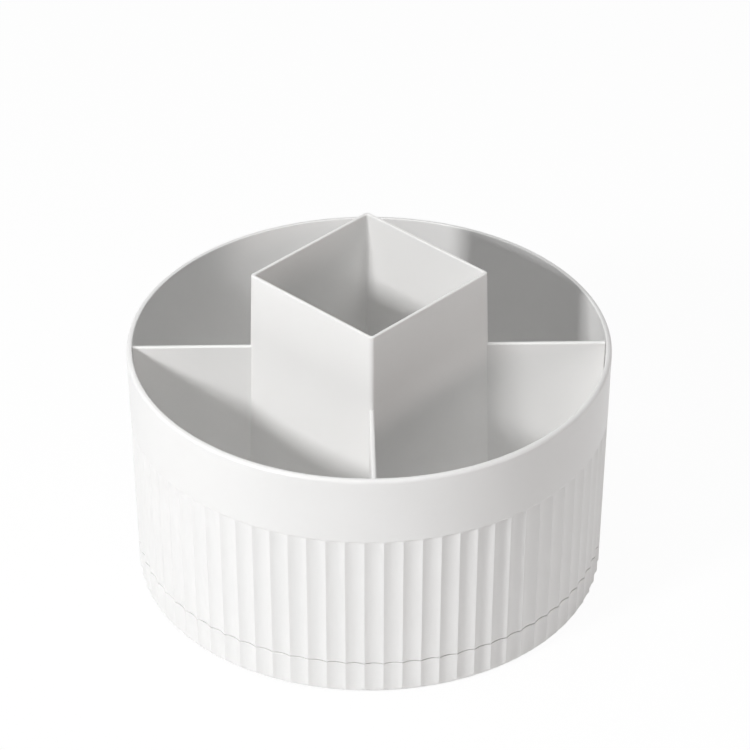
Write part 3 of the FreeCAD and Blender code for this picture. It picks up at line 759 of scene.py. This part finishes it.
def spindleScrew():
    # pan head with a cross recess: the face dips along two arms, less deep outwards, and each arm
    # ends in a slope at its sides and at its end. Close rings over the face, which carry the
    # recess, take the place of the profile's first two points
    low, high = inMm("spindle_screw")
    face, head, shank, pole = low[2], high[0], screw["shank"], screw["poleRadius"]
    under = inMm("thrust_washer")[0][2]
    angle = np.linspace(0, 2 * math.pi, screw["columns"], endpoint=False)
    profile = roundedRun([
        (pole, face, 0),
        (head, face, screw["headRound"]),
        (head, under, screw["underRound"]),
        (shank, under, 0),
        (shank, high[2], screw["tipRound"]),
        (pole, high[2], 0),
    ], steps=screw["roundSteps"])
    rings = np.linspace(pole, head - screw["faceEdge"], screw["faceRings"])
    profile = np.vstack([np.stack([rings, np.full(len(rings), face)], axis=-1), profile[2:]])
    radius, level = profile[:, :1], profile[:, 1:2] + 0 * angle
    x, y = radius * np.cos(angle), radius * np.sin(angle)
    arm = np.minimum(np.abs(x), np.abs(y))
    inArm = np.clip((screw["armHalf"] - arm) / screw["armSlope"], 0, 1)
    inReach = np.clip((screw["armEnd"] - radius) / screw["endSlope"], 0, 1)
    onFace = np.where(profile[:, 1:2] < face + screw["faceDepth"], 1, 0)
    level = level + onFace * inArm * inReach * (screw["recessDepth"] - screw["recessRise"] * radius)
    shell = ringShell(np.stack([x, y, level], axis=-1))
    makePiece("spindleScrew", [shell], "drum", ["spindle_screw"], looks["screw_steel"])


washer = {
    "bore": 2.2,
    "boreRound": 0.15,
    "rimRound": 0.2,
}


def thrustWasher():
    # a flat ring with rounded edges, turned from its section
    low, high = inMm("thrust_washer")
    profile = roundedRun([
        (washer["bore"], low[2], washer["boreRound"]),
        (high[0], low[2], washer["rimRound"]),
        (high[0], high[2], washer["rimRound"]),
        (washer["bore"], high[2], washer["boreRound"]),
    ], closed=True, steps=3, brace=fineBrace)
    shell = turnedShell(profile, wrapRows=True)
    makePiece("thrustWasher", [shell], "drum", ["thrust_washer"], looks["washer_steel"])


drumShell()
baseShell()
cupAndDividers()
footPads()
bearingBalls()
spindleScrew()
thrustWasher()

slotOf = {part["node"]: part["material_slot"] for part in frame["record"]["subparts"]}
for name, node in frame["nodes"].items():
    node.data.materials.clear()
    node.data.materials.append(looks[slotOf[name]])
print("pieces made")


# Floor, light and camera: metres, degrees and watts

stage = {
    "floorSize": 12.0,
    "floorColour": (0.86, 0.86, 0.86),
    "floorDrift": (0.87, 0.87, 0.87),
    "driftPerMetre": 3,
    "floorRoughness": 0.9,
    "whiteShare": 0.94,            # how much of the floor seen is plain white; the rest keeps the shadow
    "whiteGlow": 1.012,            # strength of that white, which makes up for what the rest lacks
    "worldLevel": 0.16,
    "aimHeight": 0.08,             # of the point that the lamps look at
}


def whiteFloor():
    # a flat square: the camera sees it mostly as plain white, and its own shading is the rest
    half = stage["floorSize"] / 2
    corners = [(-half, -half, 0), (half, -half, 0), (half, half, 0), (-half, half, 0)]
    mesh = bpy.data.meshes.new("floorPlane")
    mesh.from_pydata(corners, [], [(0, 1, 2, 3)])
    plane = bpy.data.objects.new("floorPlane", mesh)
    bpy.context.scene.collection.objects.link(plane)
    material, nodes, links, shader = newMaterial("floorPaper")
    drift = noise(nodes, links, stage["driftPerMetre"])
    tone = blendColours(nodes, links, drift, stage["floorColour"], stage["floorDrift"])
    links.new(tone, shader.inputs["Base Color"])
    shader.inputs["Roughness"].default_value = stage["floorRoughness"]
    shader.inputs["Specular IOR Level"].default_value = 0.0
    glow = nodes.new("ShaderNodeEmission")
    glow.inputs["Strength"].default_value = stage["whiteGlow"]
    mix = nodes.new("ShaderNodeMixShader")
    links.new(seenDirectly(nodes, links, stage["whiteShare"]), mix.inputs["Fac"])
    links.new(shader.outputs["BSDF"], mix.inputs[1])
    links.new(glow.outputs["Emission"], mix.inputs[2])
    links.new(mix.outputs["Shader"], nodes["Material Output"].inputs["Surface"])
    mesh.materials.append(material)


def seenDirectly(nodes, links, amount):
    # the largest of the flags for camera, mirror and glass rays, times an amount
    path = nodes.new("ShaderNodeLightPath")
    total = path.outputs["Is Camera Ray"]
    for ray in ("Is Glossy Ray", "Is Transmission Ray"):
        either = nodes.new("ShaderNodeMath")
        either.operation = "MAXIMUM"
        links.new(total, either.inputs[0])
        links.new(path.outputs[ray], either.inputs[1])
        total = either.outputs["Value"]
    scaled = nodes.new("ShaderNodeMath")
    scaled.operation = "MULTIPLY"
    scaled.inputs[1].default_value = amount
    links.new(total, scaled.inputs[0])
    return scaled.outputs["Value"]


def worldLight():
    # plain white where it is seen, and a low even light on everything else
    world = bpy.data.worlds.new("studio")
    bpy.context.scene.world = world
    world.use_nodes = True
    nodes, links = world.node_tree.nodes, world.node_tree.links
    low = nodes["Background"]
    low.inputs["Color"].default_value = (1, 1, 1, 1)
    low.inputs["Strength"].default_value = stage["worldLevel"]
    seen = nodes.new("ShaderNodeBackground")
    seen.inputs["Color"].default_value = (1, 1, 1, 1)
    seen.inputs["Strength"].default_value = 1.0
    mix = nodes.new("ShaderNodeMixShader")
    links.new(seenDirectly(nodes, links, 1.0), mix.inputs["Fac"])
    links.new(low.outputs["Background"], mix.inputs[1])
    links.new(seen.outputs["Background"], mix.inputs[2])
    links.new(mix.outputs["Shader"], nodes["World Output"].inputs["Surface"])


def towards(azimuth, elevation):
    # the direction from the object to a place round it, azimuth 0 in front and positive to the right
    side, rise = math.radians(azimuth), math.radians(elevation)
    return np.array([math.sin(side) * math.cos(rise), -math.cos(side) * math.cos(rise), math.sin(rise)])


def lookFrom(place, ahead):
    # a matrix at a place whose -Z looks ahead: its X is ahead crossed with upright, so it is level,
    # and its Y is X crossed with ahead
    ahead = ahead / np.linalg.norm(ahead)
    right = np.cross(ahead, [0, 0, 1])
    right = right / np.linalg.norm(right)
    up = np.cross(right, ahead)
    return Matrix([[right[row], up[row], -ahead[row], place[row]] for row in range(3)] + [[0, 0, 0, 1]])


white = (1.0, 1.0, 1.0)
warm = (1.0, 0.92, 0.89)
lamps = {
    "key": {"azimuth": -48, "elevation": 29.4, "distance": 1.8, "size": 0.26, "watts": 18.7, "colour": white},
    "left": {"azimuth": -95, "elevation": 25, "distance": 2.2, "size": 1.2, "watts": 2.4, "colour": white},
    "right": {"azimuth": 62, "elevation": 9, "distance": 2.2, "size": 0.5, "watts": 6.4, "colour": warm},
    "top": {"azimuth": -20, "elevation": 84, "distance": 1.8, "size": 1.2, "watts": 12.2, "colour": white},
}


def softLamp(name, azimuth, elevation, distance, size, watts, colour):
    # a square soft lamp that looks at the middle of the object
    back = towards(azimuth, elevation)
    aim = np.array([0.0, 0.0, stage["aimHeight"]])
    data = bpy.data.lights.new(name, "AREA")
    data.shape = "SQUARE"
    data.size = size
    data.energy = watts
    data.color = colour
    lamp = bpy.data.objects.new(name, data)
    lamp.matrix_world = lookFrom(aim + back * distance, -back)
    bpy.context.scene.collection.objects.link(lamp)


cameraFit = {
    "azimuth": -1.13,
    "elevation": 33.644,
    "distance": 1.8298,
    "aimHeight": 0.1020,
    "sensor": 36,
    "lens": 188.4,
    "shiftX": 0.00768,
    "reach": 50,
}


def makeCamera():
    # the camera looks at a point over the middle of the base, from a distance along a direction
    back = towards(cameraFit["azimuth"], cameraFit["elevation"])
    data = bpy.data.cameras.new("camera")
    data.sensor_width = cameraFit["sensor"]
    data.lens = cameraFit["lens"]
    data.shift_x = cameraFit["shiftX"]
    data.clip_end = cameraFit["reach"]
    camera = bpy.data.objects.new("camera", data)
    place = np.array([0, 0, cameraFit["aimHeight"]]) + back * cameraFit["distance"]
    camera.matrix_world = lookFrom(place, -back)
    bpy.context.scene.collection.objects.link(camera)
    bpy.context.scene.camera = camera


whiteFloor()
worldLight()
for lampName, settings in lamps.items():
    softLamp(lampName, **settings)
makeCamera()
bpy.context.scene.view_settings.view_transform = "Standard"
print("stage set")
